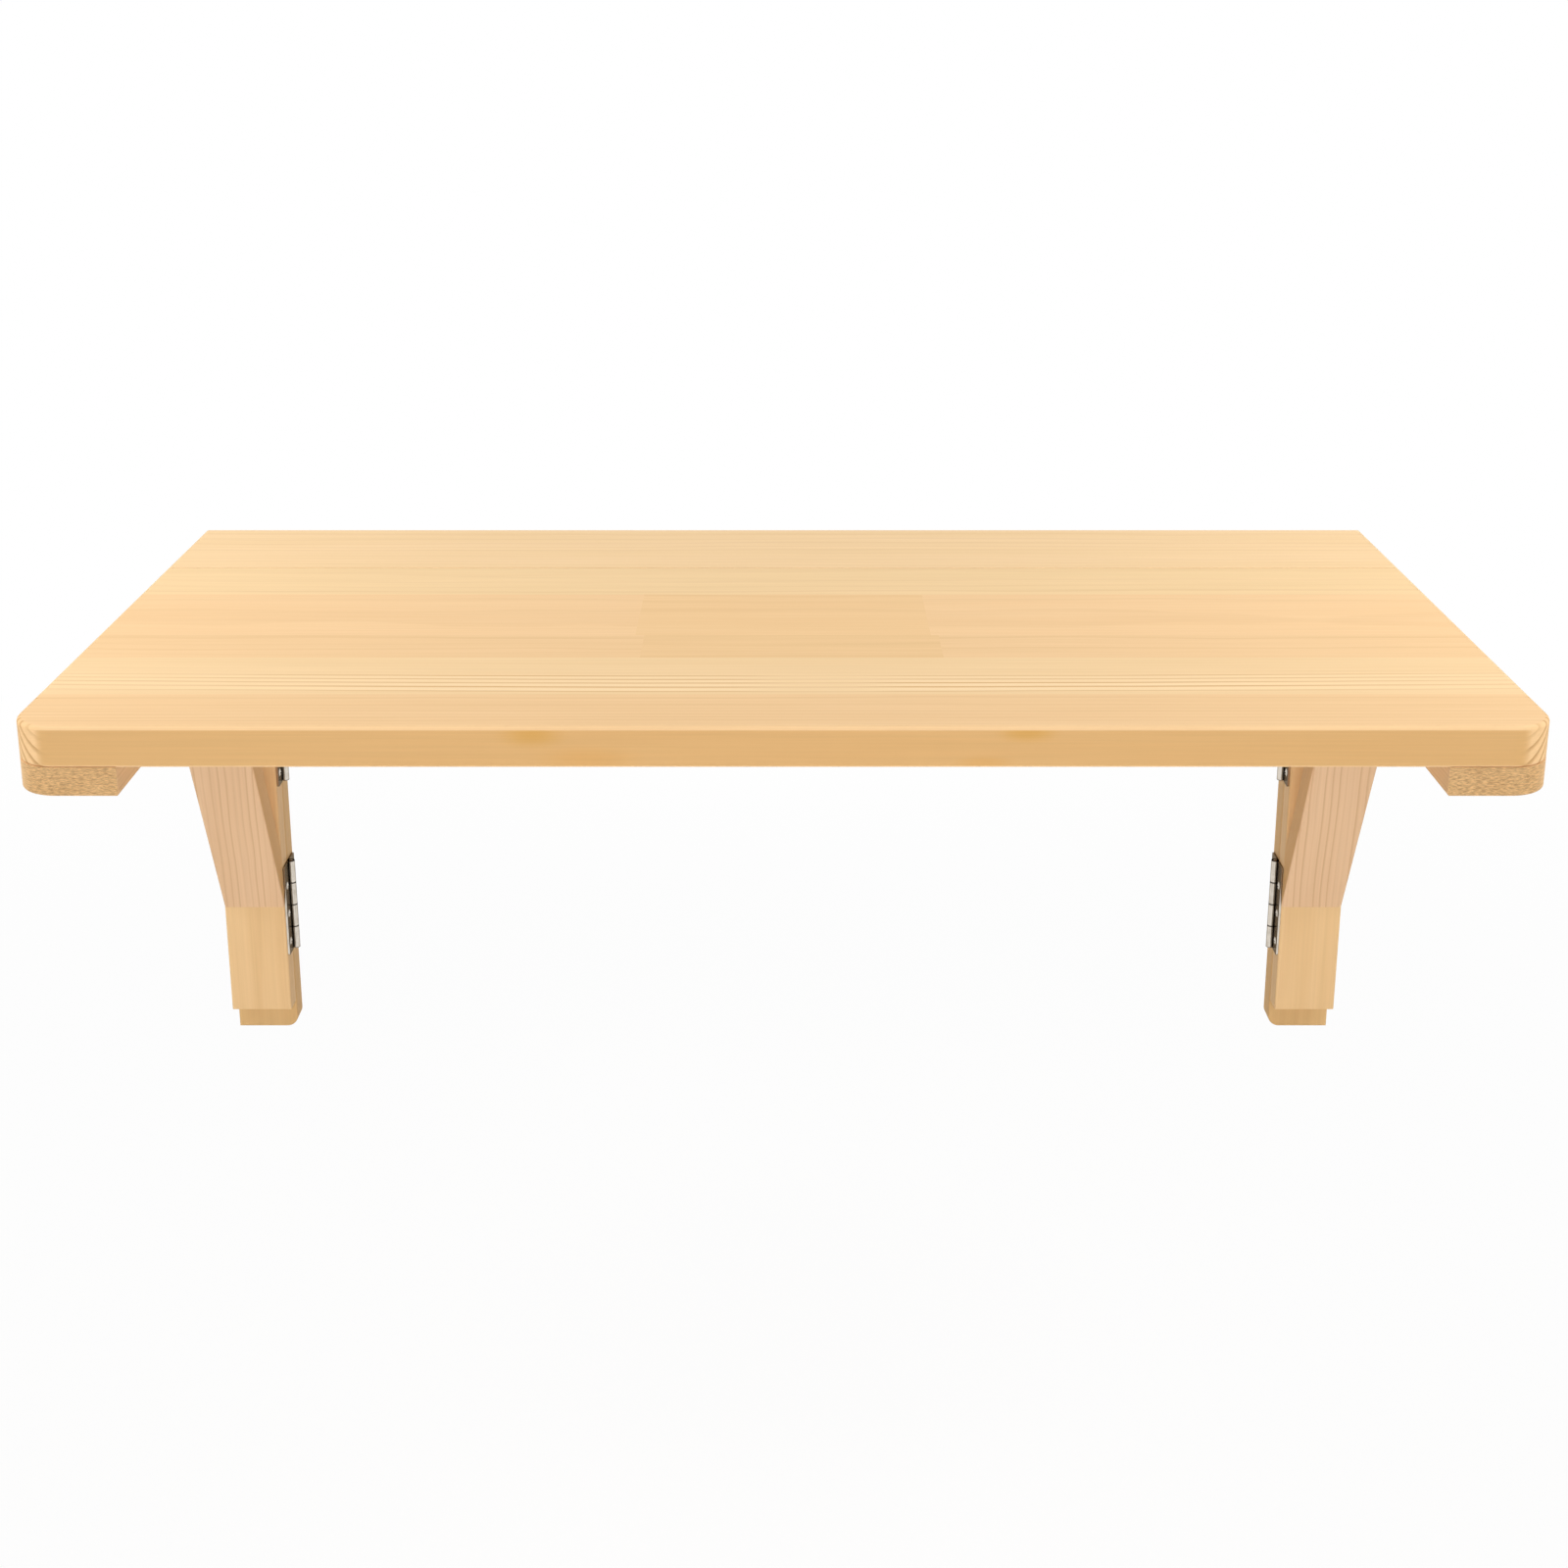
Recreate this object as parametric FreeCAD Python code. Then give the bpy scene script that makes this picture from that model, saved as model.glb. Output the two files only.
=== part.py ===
import FreeCAD, Part
import math
import os

from FreeCAD import Placement, Rotation, Vector

# Wall mounted drop leaf table, in millimetres. The wall is the plane y = 0, the room is towards -y,
# x runs along the wall and z is up. The origin is the middle of the wall cleat's back face.

# Table top: a fixed strip along the wall, and the leaf hinged to it
TOP_WIDTH = 900.0
TOP_DEPTH = 450.0
TOP_THICKNESS = 25.0
TOP_CORNER_RADIUS = 26.0
TOP_ROUNDOVER = 3.0
UNDER_ROUNDOVER = 1.5
STRIP_DEPTH = 108.5
LEAF_GAP = 1.5
JOINT_EASING = 0.5
STAVE_EDGE_SHARES = (0.0, 0.20, 0.48, 0.62, 0.83, 1.0)

# Battens across the ends of the top, in line on the strip and on the leaf
BATTEN_WIDTH = 63.0
BATTEN_THICKNESS = 18.0
BATTEN_SETBACK = 5.0
STRIP_BATTEN_DEPTH = 88.0

# Bars of the wall posts and of the brackets
BAR_WIDTH = 48.0
BAR_THICKNESS = 18.0
BAR_ARRIS = 1.5
BRACKET_INSET = 3.0
BRACKET_HEIGHT = 349.0
BRACKET_CLEARANCE = 0.3
SWING_GAP = 0.4
WALL_POST_LENGTH = 374.0
POST_CORNER_RADIUS = 9.0
ARM_LENGTH = 285.0
ARM_TIP_RADIUS = 10.0
BRACE_THICKNESS = 22.0
BRACE_ANGLE = 65.0
BRACE_FOOT_RISE = 90.0

# Cleat that carries the strip on the wall
CLEAT_HEIGHT = 60.0
CLEAT_THICKNESS = 18.0

# Holes for the screws into the wall
WALL_HOLE_RADIUS = 2.75
WALL_SINK_RADIUS = 5.5
POST_HOLE_DROP = 52.0
POST_HOLE_SPACING = 290.0
CLEAT_HOLE_SPACING = 500.0

# Butt hinges, all of one kind
HINGE_LENGTH = 76.0
PLATE_WIDTH = 17.0
PLATE_CORNER_RADIUS = 2.0
SHEET = 1.5
BARREL_RADIUS = 3.0
KNUCKLES = 4
KNUCKLE_GAP = 0.3
PLATE_CLEARANCE = 0.4
ROLL_SEAM = 0.4
PIN_CLEARANCE = 0.05
HINGE_SCREW_PITCH = 24.0
HINGE_SCREW_STAGGER = 4.0
HINGE_SCREWS = 3
LEAF_HINGE_SPACING = 250.0
LEAF_HINGES = ("left", "middle", "right")
UPPER_HINGE_RISE = 230.0
LOWER_HINGE_RISE = 85.0

# Screws: raised heads in the hinges, flat heads in the wood. They are small and many, so they have
# flat sides
SCREW_SIDES = 8
HINGE_SCREW_LENGTH = 12.0
HINGE_SCREW_RADIUS = 1.7
HINGE_HEAD_RADIUS = 3.3
HINGE_HEAD_CROWN = 1.0
CROWN_TOP_SHARE = 0.55
WOOD_SCREW_RADIUS = 2.0
WOOD_HEAD_RADIUS = 4.0
WOOD_HEAD_SINK = 2.4
SCREW_CLEARANCE = 0.1
BATTEN_SCREW_LENGTH = 35.0
BATTEN_SCREW_SHARES = (0.14, 0.5, 0.86)
STRIP_BATTEN_SCREW_SHARES = (0.4, 0.82)
CLEAT_SCREW_LENGTH = 80.0
CLEAT_SCREW_SHARES = (-0.85, -0.3, 0.3, 0.85)
ARM_POST_SCREW_LENGTH = 55.0
ARM_BRACE_SCREW_LENGTH = 40.0
ARM_BRACE_SCREW_SHARE = 0.3
POST_BRACE_SCREW_LENGTH = 34.0
POST_BRACE_SCREW_SHARE = 0.8
WIDE_PAIR_SHARES = (-0.25, 0.25)
CLOSE_PAIR_SHARES = (-0.17, 0.17)

# Dowels between the wall posts and the battens on them
DOWEL_RADIUS = 4.0
DOWEL_LENGTH = 34.0
DOWEL_IN_BATTEN = 13.0
DOWEL_CLEARANCE = 0.05

# Cuts run past the face they open by this much
OVERRUN = 1.0
QUARTER_TURN = 90.0
NEAR = 1e-4

# Levels, from the cleat's middle up and down
under_z = CLEAT_HEIGHT / 2
top_z = under_z + TOP_THICKNESS
batten_z = under_z - BATTEN_THICKNESS
arm_top_z = batten_z - BRACKET_CLEARANCE
arm_under_z = arm_top_z - BAR_THICKNESS
bracket_foot_z = arm_top_z - BRACKET_HEIGHT
wall_post_foot_z = batten_z - WALL_POST_LENGTH

# Places along the depth, from the wall out
joint_y = -(STRIP_DEPTH + LEAF_GAP / 2)
leaf_back_y = joint_y - LEAF_GAP / 2
front_y = -TOP_DEPTH
wall_post_y = -BAR_THICKNESS
swing_y = wall_post_y - SWING_GAP / 2
bracket_back_y = wall_post_y - SWING_GAP
bracket_post_y = bracket_back_y - BAR_THICKNESS
arm_tip_y = bracket_back_y - ARM_LENGTH

# Places along the wall on the left, where x is negative
end_x = -TOP_WIDTH / 2
batten_x = end_x + BATTEN_WIDTH
bar_outer_x = end_x + BRACKET_INSET
bar_inner_x = bar_outer_x + BAR_WIDTH
bar_middle_x = bar_outer_x + BAR_WIDTH / 2
batten_middle_x = end_x + BATTEN_WIDTH / 2
swing_x = bar_inner_x + BARREL_RADIUS

UP = Vector(0, 0, 1)
DOWN = Vector(0, 0, -1)
OUT_LEFT = Vector(-1, 0, 0)
TO_ROOM = Vector(0, -1, 0)
TO_WALL = Vector(0, 1, 0)
parts = {}


def block(x0, x1, y0, y1, z0, z1):
    """Box between two corners, given in any order."""
    low = Vector(min(x0, x1), min(y0, y1), min(z0, z1))
    return Part.makeBox(abs(x1 - x0), abs(y1 - y0), abs(z1 - z0), low)


def edges_where(shape, test):
    """Edges whose middle point passes the test."""
    return [edge for edge in shape.Edges if test(edge.CenterOfMass)]


def edges_along(shape, direction, test=lambda middle: True):
    """Straight edges along a direction whose middle point passes the test."""
    found = []
    for edge in edges_where(shape, test):
        if isinstance(edge.Curve, Part.Line) and abs(abs(edge.Curve.Direction.dot(direction)) - 1) < NEAR:
            found.append(edge)
    return found


def at(value, place):
    """Whether a coordinate lies at a place."""
    return abs(value - place) < NEAR


def mirrored(shape):
    """The same piece on the right of the table."""
    return shape.mirror(Vector(0, 0, 0), Vector(1, 0, 0))


def placed(shape, position, direction):
    """A screw or hole that points down at the origin, set at a position to point in a direction."""
    copy = shape.copy()
    copy.Placement = Placement(position, Rotation(DOWN, direction))
    return copy


def turned(stations):
    """Flat-sided bar through stations of radius and height, given from its top down."""
    angles = [2 * math.pi * side / SCREW_SIDES for side in range(SCREW_SIDES)]
    rings = []
    for radius, z in stations:
        rings.append([Vector(radius * math.cos(angle), radius * math.sin(angle), z) for angle in angles])
    outlines = [rings[0], rings[-1]]
    for upper, lower in zip(rings, rings[1:]):
        for side in range(SCREW_SIDES):
            following = (side + 1) % SCREW_SIDES
            outlines.append([upper[side], upper[following], lower[following], lower[side]])
    faces = [Part.Face(Part.makePolygon(outline + outline[:1])) for outline in outlines]
    return Part.Solid(Part.Shell(faces))


def screw(head_radius, head_sink, crown, radius, length):
    """Screw pointing down, with its head's rim on the plane z = 0."""
    stations = [(head_radius, 0), (radius, -head_sink), (radius, -length)]
    if crown > 0:
        stations.insert(0, (CROWN_TOP_SHARE * head_radius, crown))
    return turned(stations)


def screw_hole(head_radius, head_sink, radius, length):
    """Hole for that screw, larger all round by the screw's clearance."""
    mouth = head_radius + SCREW_CLEARANCE
    bore = radius + SCREW_CLEARANCE
    return turned([(mouth, OVERRUN), (mouth, 0), (bore, -head_sink), (bore, -length - SCREW_CLEARANCE)])


def drive(wood_nodes, position, direction, length):
    """Cut a wood screw's hole in the named pieces, and return the screw."""
    hole = screw_hole(WOOD_HEAD_RADIUS, WOOD_HEAD_SINK, WOOD_SCREW_RADIUS, length)
    for node in wood_nodes:
        parts[node] = parts[node].cut(placed(hole, position, direction))
    flat = screw(WOOD_HEAD_RADIUS, WOOD_HEAD_SINK, 0, WOOD_SCREW_RADIUS, length)
    return placed(flat, position, direction)


def wall_hole(x, y, z):
    """Hole through a piece on the wall, countersunk on its room side at y."""
    sink_depth = WALL_SINK_RADIUS - WALL_HOLE_RADIUS
    bore = Part.makeCylinder(WALL_HOLE_RADIUS, OVERRUN - y + OVERRUN, Vector(x, OVERRUN, z), TO_ROOM)
    sink = Part.makeCone(WALL_SINK_RADIUS, WALL_HOLE_RADIUS, sink_depth, Vector(x, y, z), TO_WALL)
    mouth = Part.makeCylinder(WALL_SINK_RADIUS, OVERRUN, Vector(x, y, z), TO_ROOM)
    return bore.fuse([sink, mouth])


# Leaf: one rounded panel, cut along its glue lines into staves
panel = block(end_x, -end_x, leaf_back_y, front_y, under_z, top_z)
panel = panel.makeFillet(TOP_CORNER_RADIUS, edges_along(panel, UP, lambda m: at(m.y, front_y)))
panel = panel.makeFillet(TOP_ROUNDOVER,
                         edges_where(panel, lambda m: at(m.z, top_z) and m.y < leaf_back_y - NEAR))
panel = panel.makeFillet(UNDER_ROUNDOVER,
                         edges_where(panel, lambda m: at(m.z, under_z) and m.y < leaf_back_y - NEAR))
panel = panel.makeFillet(JOINT_EASING, edges_where(panel, lambda m: at(m.y, leaf_back_y)))
leaf_depth = leaf_back_y - front_y
stave_names = []
for number, (near, far) in enumerate(zip(STAVE_EDGE_SHARES, STAVE_EDGE_SHARES[1:]), start=1):
    cutter = block(end_x, -end_x, leaf_back_y - near * leaf_depth, leaf_back_y - far * leaf_depth,
                   under_z, top_z)
    stave_names.append(f"leaf_stave_{number}")
    parts[stave_names[-1]] = panel.common(cutter)

# Strip along the wall, of the same board
strip = block(end_x, -end_x, 0, -STRIP_DEPTH, under_z, top_z)
strip = strip.makeFillet(TOP_ROUNDOVER, edges_along(strip, TO_ROOM, lambda m: at(m.z, top_z)))
strip = strip.makeFillet(UNDER_ROUNDOVER, edges_along(strip, TO_ROOM, lambda m: at(m.z, under_z)))
strip = strip.makeFillet(JOINT_EASING, edges_where(strip, lambda m: at(m.y, -STRIP_DEPTH)))
parts["wall_strip"] = strip

# Cleat under the strip, between the battens
cleat = block(batten_x, -batten_x, 0, -CLEAT_THICKNESS, -under_z, under_z)
cleat = cleat.makeFillet(
    BAR_ARRIS, edges_along(cleat, OUT_LEFT, lambda m: at(m.z, -under_z) and m.y < -NEAR))
for x in (-CLEAT_HOLE_SPACING / 2, CLEAT_HOLE_SPACING / 2):
    cleat = cleat.cut(wall_hole(x, -CLEAT_THICKNESS, 0))
parts["wall_cleat"] = cleat

# Battens on the left: a long one that follows the leaf's corner, and a short one under the strip
leaf_batten_back_y = leaf_back_y - BATTEN_SETBACK
batten = block(end_x, batten_x, leaf_batten_back_y, front_y, batten_z, under_z)
batten = batten.makeFillet(TOP_CORNER_RADIUS,
                           edges_along(batten, UP, lambda m: at(m.y, front_y) and at(m.x, end_x)))
batten = batten.makeFillet(BAR_ARRIS, edges_where(batten, lambda m: at(m.z, batten_z)))
parts["leaf_batten_left"] = batten
short_batten = block(end_x, batten_x, 0, -STRIP_BATTEN_DEPTH, batten_z, under_z)
short_batten = short_batten.makeFillet(
    BAR_ARRIS, edges_where(short_batten, lambda m: at(m.z, batten_z) and m.y < -NEAR))
parts["strip_batten_left"] = short_batten

# Wall post on the left, with a round lower corner towards the table's middle
post = block(bar_outer_x, bar_inner_x, 0, wall_post_y, wall_post_foot_z, batten_z)
post = post.makeFillet(POST_CORNER_RADIUS,
                       edges_along(post, TO_ROOM, lambda m: at(m.x, bar_inner_x) and m.z < -under_z))
post = post.makeFillet(
    BAR_ARRIS, edges_where(post, lambda m: at(m.y, wall_post_y) and m.z < batten_z - NEAR))
post_hole_z = batten_z - POST_HOLE_DROP
for z in (post_hole_z, post_hole_z - POST_HOLE_SPACING):
    post = post.cut(wall_hole(bar_middle_x, wall_post_y, z))
parts["wall_post_left"] = post

# Bracket on the left: arm on top of the post, and a brace cut to fit between them
swing_post = block(bar_outer_x, bar_inner_x, bracket_back_y, bracket_post_y, bracket_foot_z, arm_under_z)
swing_post = swing_post.makeFillet(BAR_ARRIS, edges_along(swing_post, UP))
parts["bracket_post_left"] = swing_post
arm = block(bar_outer_x, bar_inner_x, bracket_back_y, arm_tip_y, arm_under_z, arm_top_z)
arm = arm.makeFillet(ARM_TIP_RADIUS,
                     edges_along(arm, OUT_LEFT, lambda m: at(m.y, arm_tip_y) and at(m.z, arm_under_z)))
arm = arm.makeFillet(BAR_ARRIS, edges_along(arm, TO_ROOM))
parts["bracket_arm_left"] = arm
slope = math.radians(BRACE_ANGLE)
brace_foot_z = bracket_foot_z + BRACE_FOOT_RISE
brace_head_y = bracket_post_y - (arm_under_z - brace_foot_z) / math.tan(slope)
brace_inner_foot_z = brace_foot_z + BRACE_THICKNESS / math.cos(slope)
brace_inner_head_y = brace_head_y + BRACE_THICKNESS / math.sin(slope)
brace_outline = [
    Vector(bar_outer_x, bracket_post_y, brace_foot_z),
    Vector(bar_outer_x, brace_head_y, arm_under_z),
    Vector(bar_outer_x, brace_inner_head_y, arm_under_z),
    Vector(bar_outer_x, bracket_post_y, brace_inner_foot_z),
]
brace = Part.Face(Part.makePolygon(brace_outline + brace_outline[:1])).extrude(Vector(BAR_WIDTH, 0, 0))
brace = brace.makeFillet(BAR_ARRIS, edges_along(brace, Vector(0, -math.cos(slope), math.sin(slope))))
parts["bracket_brace_left"] = brace

# Dowels that stand in the wall post and reach into the short batten
dowels = []
for share in WIDE_PAIR_SHARES:
    top = Vector(bar_middle_x + share * BAR_WIDTH, wall_post_y / 2, batten_z + DOWEL_IN_BATTEN)
    dowels.append(placed(turned([(DOWEL_RADIUS, 0), (DOWEL_RADIUS, -DOWEL_LENGTH)]), top, DOWN))
    socket_radius = DOWEL_RADIUS + DOWEL_CLEARANCE
    socket = turned([(socket_radius, DOWEL_CLEARANCE), (socket_radius, -DOWEL_LENGTH - DOWEL_CLEARANCE)])
    socket = placed(socket, top, DOWN)
    for node in ("wall_post_left", "strip_batten_left"):
        parts[node] = parts[node].cut(socket)
parts["post_dowels_left"] = Part.makeCompound(dowels)

# Screws that hold the bracket's three bars together
bracket_screws = []
for share in WIDE_PAIR_SHARES:
    x = bar_middle_x + share * BAR_WIDTH
    middle = Vector(x, (bracket_back_y + bracket_post_y) / 2, arm_top_z)
    nodes = ("bracket_arm_left", "bracket_post_left")
    bracket_screws.append(drive(nodes, middle, DOWN, ARM_POST_SCREW_LENGTH))
    head_y = brace_inner_head_y + ARM_BRACE_SCREW_SHARE * (brace_head_y - brace_inner_head_y)
    nodes = ("bracket_arm_left", "bracket_brace_left")
    bracket_screws.append(drive(nodes, Vector(x, head_y, arm_top_z), DOWN, ARM_BRACE_SCREW_LENGTH))
for share in CLOSE_PAIR_SHARES:
    foot_z = brace_foot_z + POST_BRACE_SCREW_SHARE * (brace_inner_foot_z - brace_foot_z)
    position = Vector(bar_middle_x + share * BAR_WIDTH, bracket_back_y, foot_z)
    nodes = ("bracket_post_left", "bracket_brace_left")
    bracket_screws.append(drive(nodes, position, TO_ROOM, POST_BRACE_SCREW_LENGTH))
parts["bracket_screws_left"] = Part.makeCompound(bracket_screws)

# Right side: every wooden piece on the left, mirrored
for node in [name for name in parts if name.endswith("_left")]:
    parts[node.replace("_left", "_right")] = mirrored(parts[node])

# Screws up through the battens, and up through the cleat into the strip
batten_screws = []
leaf_batten_length = leaf_batten_back_y - front_y
for side, x in (("left", batten_middle_x), ("right", -batten_middle_x)):
    for share in BATTEN_SCREW_SHARES:
        y = leaf_batten_back_y - share * leaf_batten_length
        nodes = [f"leaf_batten_{side}"] + stave_names
        batten_screws.append(drive(nodes, Vector(x, y, batten_z), UP, BATTEN_SCREW_LENGTH))
parts["leaf_batten_screws"] = Part.makeCompound(batten_screws)
strip_screws = []
for side, x in (("left", batten_middle_x), ("right", -batten_middle_x)):
    for share in STRIP_BATTEN_SCREW_SHARES:
        position = Vector(x, -share * STRIP_BATTEN_DEPTH, batten_z)
        nodes = (f"strip_batten_{side}", "wall_strip")
        strip_screws.append(drive(nodes, position, UP, BATTEN_SCREW_LENGTH))
parts["strip_batten_screws"] = Part.makeCompound(strip_screws)
cleat_screws = []
for share in CLEAT_SCREW_SHARES:
    position = Vector(-share * batten_x, -CLEAT_THICKNESS / 2, -under_z)
    cleat_screws.append(drive(("wall_cleat", "wall_strip"), position, UP, CLEAT_SCREW_LENGTH))
parts["cleat_screws"] = Part.makeCompound(cleat_screws)

# One butt hinge, with its pin along z at the origin, lying on the plane x = -BARREL_RADIUS
plate_face_x = SHEET - BARREL_RADIUS
knuckle_pitch = HINGE_LENGTH / KNUCKLES
plate_inner_y = BARREL_RADIUS + PLATE_CLEARANCE
hinge_screw_y = (plate_inner_y + PLATE_WIDTH) / 2
hinge_hole = screw_hole(HINGE_HEAD_RADIUS, SHEET, HINGE_SCREW_RADIUS, HINGE_SCREW_LENGTH)
hinge_screw = screw(HINGE_HEAD_RADIUS, SHEET, HINGE_HEAD_CROWN, HINGE_SCREW_RADIUS, HINGE_SCREW_LENGTH)


def hinge_screw_spots(side):
    """Places of a plate's screws, on the side +1 or -1 of the pin."""
    spots = []
    for number in range(HINGE_SCREWS):
        z = (number - (HINGE_SCREWS - 1) / 2) * HINGE_SCREW_PITCH + side * HINGE_SCREW_STAGGER
        spots.append(Vector(plate_face_x, side * hinge_screw_y, z))
    return spots


def hinge_plate(side):
    """Plate on one side of the pin, its sheet rolled into every second knuckle."""
    half = HINGE_LENGTH / 2
    plate = block(-BARREL_RADIUS, plate_face_x, side * plate_inner_y, side * PLATE_WIDTH, -half, half)
    corners = edges_along(plate, Vector(1, 0, 0), lambda m: at(m.y, side * PLATE_WIDTH))
    plate = plate.makeFillet(PLATE_CORNER_RADIUS, corners)
    first = 0 if side < 0 else 1
    for number in range(first, KNUCKLES, 2):
        low = number * knuckle_pitch - half + KNUCKLE_GAP / 2
        length = knuckle_pitch - KNUCKLE_GAP
        foot = Vector(0, 0, low)
        ring = Part.makeCylinder(BARREL_RADIUS, length, foot)
        ring = ring.cut(Part.makeCylinder(BARREL_RADIUS - SHEET, length, foot))
        seam = block(plate_face_x, plate_face_x + ROLL_SEAM, 0, side * plate_inner_y, low, low + length)
        tongue = block(-BARREL_RADIUS, plate_face_x, 0, side * plate_inner_y, low, low + length)
        plate = plate.fuse([ring.cut(seam), tongue])
    for spot in hinge_screw_spots(side):
        plate = plate.cut(placed(hinge_hole, spot, OUT_LEFT))
    return plate.removeSplitter()


def hinge_pin():
    """Pin through the knuckles, flush with the barrel's ends."""
    foot = Vector(0, 0, -HINGE_LENGTH / 2)
    return Part.makeCylinder(BARREL_RADIUS - SHEET - PIN_CLEARANCE, HINGE_LENGTH, foot)


def set_hinge(placement, far_nodes, near_nodes):
    """Hinge at a placement, with its screw holes cut in the wood behind each plate."""
    pieces = {"pin": hinge_pin()}
    for key, side, wood_nodes in (("far", 1, far_nodes), ("near", -1, near_nodes)):
        pieces[f"{key}_plate"] = hinge_plate(side)
        holes = [placed(hinge_hole, spot, OUT_LEFT) for spot in hinge_screw_spots(side)]
        screws = [placed(hinge_screw, spot, OUT_LEFT) for spot in hinge_screw_spots(side)]
        pieces[f"{key}_screws"] = Part.makeCompound(screws)
        for hole in holes:
            hole.Placement = placement.multiply(hole.Placement)
            for node in wood_nodes:
                parts[node] = parts[node].cut(hole)
    for piece in pieces.values():
        piece.Placement = placement.multiply(piece.Placement)
    return pieces


# Leaf hinges under the joint: one plate on the strip, the other on the leaf
strip_hinge_screws = []
leaf_hinge_screws = []
for number, name in enumerate(LEAF_HINGES):
    x = (number - (len(LEAF_HINGES) - 1) / 2) * LEAF_HINGE_SPACING
    placement = Placement(Vector(x, joint_y, under_z - BARREL_RADIUS), Rotation(TO_WALL, QUARTER_TURN))
    pieces = set_hinge(placement, ["wall_strip"], stave_names[:1])
    parts[f"leaf_hinge_{name}_strip_plate"] = pieces["far_plate"]
    parts[f"leaf_hinge_{name}_leaf_plate"] = pieces["near_plate"]
    parts[f"leaf_hinge_{name}_pin"] = pieces["pin"]
    strip_hinge_screws += pieces["far_screws"].Solids
    leaf_hinge_screws += pieces["near_screws"].Solids
parts["leaf_hinge_strip_screws"] = Part.makeCompound(strip_hinge_screws)
parts["leaf_hinge_leaf_screws"] = Part.makeCompound(leaf_hinge_screws)

# Bracket hinges on the left: one plate on the wall post, the other on the bracket's post
wall_screws = []
swing_screws = []
left_hinge_nodes = []
for name, rise in (("upper", UPPER_HINGE_RISE), ("lower", LOWER_HINGE_RISE)):
    placement = Placement(Vector(swing_x, swing_y, bracket_foot_z + rise), Rotation())
    pieces = set_hinge(placement, ["wall_post_left"], ["bracket_post_left"])
    for piece_name, key in (("wall_plate", "far_plate"), ("swing_plate", "near_plate"), ("pin", "pin")):
        node = f"bracket_hinge_left_{name}_{piece_name}"
        parts[node] = pieces[key]
        left_hinge_nodes.append(node)
    wall_screws += pieces["far_screws"].Solids
    swing_screws += pieces["near_screws"].Solids
parts["bracket_hinge_left_wall_screws"] = Part.makeCompound(wall_screws)
parts["bracket_hinge_left_swing_screws"] = Part.makeCompound(swing_screws)
left_hinge_nodes += ["bracket_hinge_left_wall_screws", "bracket_hinge_left_swing_screws"]

# Right side again: the hinges, and the two posts with their hinge holes
for node in left_hinge_nodes + ["wall_post_left", "bracket_post_left"]:
    parts[node.replace("_left", "_right")] = mirrored(parts[node])

os.makedirs("parts", exist_ok=True)
for node, shape in parts.items():
    shape.exportStep(f"parts/{node}.step")
print(len(parts), "parts,", sum(len(shape.Solids) for shape in parts.values()), "solids")
print("swing axis", round(swing_x, 3), round(swing_y, 3))
print("leaf axis", round(joint_y, 3), round(under_z - BARREL_RADIUS, 3))
print("wall holes", round(2 * bar_middle_x, 3), round(post_hole_z - POST_HOLE_SPACING / 2, 3))
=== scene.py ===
import math

import bmesh
import bpy
from mathutils import Matrix, Vector


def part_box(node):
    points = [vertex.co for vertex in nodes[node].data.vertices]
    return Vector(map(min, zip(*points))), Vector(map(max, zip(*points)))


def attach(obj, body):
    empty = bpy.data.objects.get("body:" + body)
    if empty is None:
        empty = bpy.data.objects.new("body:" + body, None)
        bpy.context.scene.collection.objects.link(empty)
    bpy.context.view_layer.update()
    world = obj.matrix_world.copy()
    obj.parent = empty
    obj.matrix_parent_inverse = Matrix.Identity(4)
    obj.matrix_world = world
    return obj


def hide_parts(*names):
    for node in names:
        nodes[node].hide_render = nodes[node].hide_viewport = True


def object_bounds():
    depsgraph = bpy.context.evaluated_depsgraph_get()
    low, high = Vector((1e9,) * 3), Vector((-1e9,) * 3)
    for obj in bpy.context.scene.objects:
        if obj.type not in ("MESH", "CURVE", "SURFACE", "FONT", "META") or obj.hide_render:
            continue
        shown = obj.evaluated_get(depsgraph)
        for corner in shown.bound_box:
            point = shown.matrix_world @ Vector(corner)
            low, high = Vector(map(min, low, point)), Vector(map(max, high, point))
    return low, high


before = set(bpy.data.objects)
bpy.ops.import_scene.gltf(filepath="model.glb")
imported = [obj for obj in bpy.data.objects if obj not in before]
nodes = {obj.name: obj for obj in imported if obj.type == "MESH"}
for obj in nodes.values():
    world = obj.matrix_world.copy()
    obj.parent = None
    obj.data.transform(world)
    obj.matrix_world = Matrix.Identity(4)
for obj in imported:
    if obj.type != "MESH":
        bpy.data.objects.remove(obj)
cad_low, cad_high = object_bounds()


# Wall cleat: a planed pine bar with its grain along the wall, screwed to the wall under the strip.
# Nearly all of the table is pine, so that finish is made here: rings of growth about the heart of a
# trunk, fine fibres along the grain, and speckled end grain where the wood is cut across.
def shade(red, green, blue):
    """Light values that a shader takes for a colour given as it looks on a screen, 0 to 255."""
    values = [part / 255 for part in (red, green, blue)]
    return tuple(v / 12.92 if v <= 0.04045 else ((v + 0.055) / 1.055) ** 2.4 for v in values) + (1,)


def add(tree, kind, inputs, **settings):
    """New shader node, with each input given a value or linked to a socket."""
    made = tree.nodes.new(kind)
    for key, value in settings.items():
        setattr(made, key, value)
    for key, value in inputs.items():
        if isinstance(value, bpy.types.NodeSocket):
            tree.links.new(value, made.inputs[key])
        else:
            made.inputs[key].default_value = value
    return made


def maths(tree, operation, first, second=0.0):
    """Result of one sum on two values."""
    return add(tree, "ShaderNodeMath", {0: first, 1: second}, operation=operation).outputs[0]


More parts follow.
